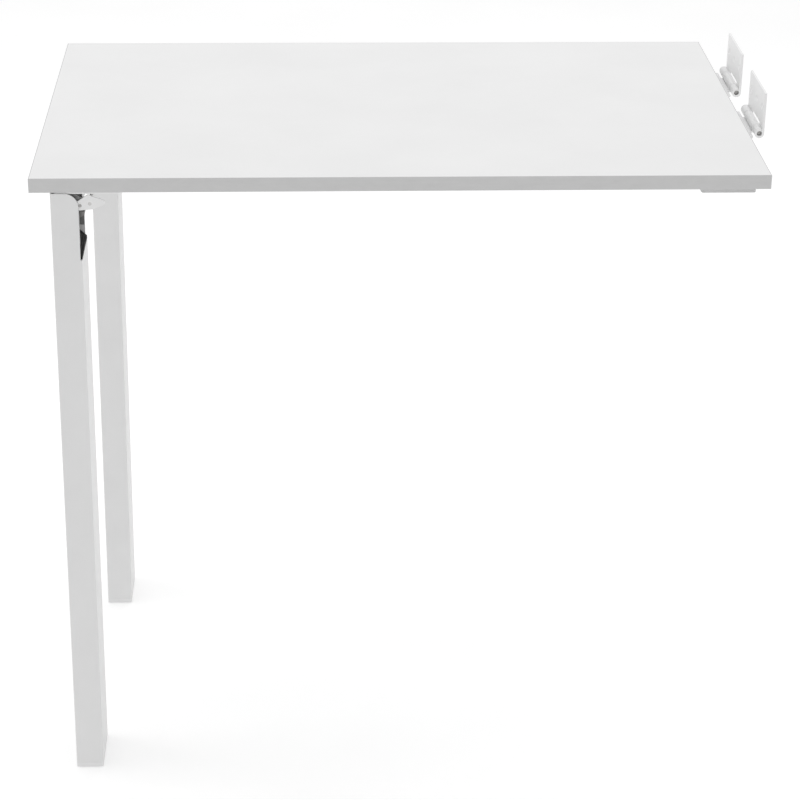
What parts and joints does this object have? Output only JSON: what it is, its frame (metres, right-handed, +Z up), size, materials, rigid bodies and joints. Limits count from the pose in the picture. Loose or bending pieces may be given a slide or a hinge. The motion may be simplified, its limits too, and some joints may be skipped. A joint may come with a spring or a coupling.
{
  "type": "wall-mounted folding desk",
  "caption": "White rectangular desk board on rolled-knuckle wall hinges, with folding steel tube legs at its free end, each locked by a bracket with a black release button.",
  "frame": {"origin": "on the floor, under the middle of the object's box", "axes": "+X towards the wall, +Y from the front edge to the back edge, +Z up"},
  "size_m": [0.825, 0.5, 0.785],
  "materials": {
    "melamine": "white melamine-faced particleboard, fine satin grain",
    "edge_band": "white ABS edge strip, satin",
    "hinge_white": "white powder coat on rolled steel",
    "bracket_white": "white powder coat on pressed steel",
    "leg_white": "white powder coat on steel tube",
    "channel_steel": "dark grey coated pressed steel",
    "foot_plastic": "white moulded plastic",
    "white_plastic": "white moulded plastic",
    "black_plastic": "black moulded plastic, satin",
    "bare_steel": "zinc-plated steel",
    "screw_steel": "zinc-plated steel",
    "magnet": "sintered ferrite"
  },
  "bodies": {
    "wall_side": {"front_wall_leaf": "hinge_white", "front_hinge_pin": "bare_steel", "rear_wall_leaf": "hinge_white", "rear_hinge_pin": "bare_steel"},
    "top": {"board_core": "melamine", "front_edge_band": "edge_band", "back_edge_band": "edge_band", "left_edge_band": "edge_band", "right_edge_band": "edge_band", "front_table_leaf": "hinge_white", "front_leaf_screws": "screw_steel", "front_bracket": "bracket_white", "front_bracket_screws": "screw_steel", "front_pivot_pin": "bare_steel", "front_strike_rod": "bare_steel", "front_catch_housing": "white_plastic", "front_catch_magnet": "magnet", "front_catch_poles": "bare_steel", "front_catch_screws": "screw_steel", "rear_table_leaf": "hinge_white", "rear_leaf_screws": "screw_steel", "rear_bracket": "bracket_white", "rear_bracket_screws": "screw_steel", "rear_pivot_pin": "bare_steel", "rear_strike_rod": "bare_steel", "rear_catch_housing": "white_plastic", "rear_catch_magnet": "magnet", "rear_catch_poles": "bare_steel", "rear_catch_screws": "screw_steel"},
    "front_leg": {"front_leg_tube": "leg_white", "front_leg_head": "channel_steel", "front_foot_cap": "foot_plastic", "front_spring_seat": "bare_steel", "front_latch_spring": "bare_steel"},
    "rear_leg": {"rear_leg_tube": "leg_white", "rear_leg_head": "channel_steel", "rear_foot_cap": "foot_plastic", "rear_spring_seat": "bare_steel", "rear_latch_spring": "bare_steel"},
    "front_release": {"front_release_button": "black_plastic", "front_latch_plate": "bare_steel"},
    "rear_release": {"rear_release_button": "black_plastic", "rear_latch_plate": "bare_steel"}
  },
  "joints": [
    {"name": "top_fold", "type": "hinge", "parent": "wall_side", "child": "top", "pos_m": [0.407, 0, 0.737], "axis": [0, -1, 0], "range_deg": [-60, 90]},
    {"name": "front_leg_fold", "type": "hinge", "parent": "top", "child": "front_leg", "pos_m": [-0.359, -0.2135, 0.718], "axis": [0, -1, 0], "range_deg": [0, 90.5]},
    {"name": "front_release_press", "type": "slide", "parent": "front_leg", "child": "front_release", "axis": [-1, 0, 0.0087], "range_m": [0, 0.005], "stiffness_N_per_m": 800, "springref_m": -0.01, "deforming": ["front_latch_spring"]},
    {"name": "rear_leg_fold", "type": "hinge", "parent": "top", "child": "rear_leg", "pos_m": [-0.3486, 0.1765, 0.718], "axis": [0, -1, 0], "range_deg": [0, 90.5]},
    {"name": "rear_release_press", "type": "slide", "parent": "rear_leg", "child": "rear_release", "axis": [-1, 0, 0.0087], "range_m": [0, 0.005], "stiffness_N_per_m": 800, "springref_m": -0.01, "deforming": ["rear_latch_spring"]}
  ]
}
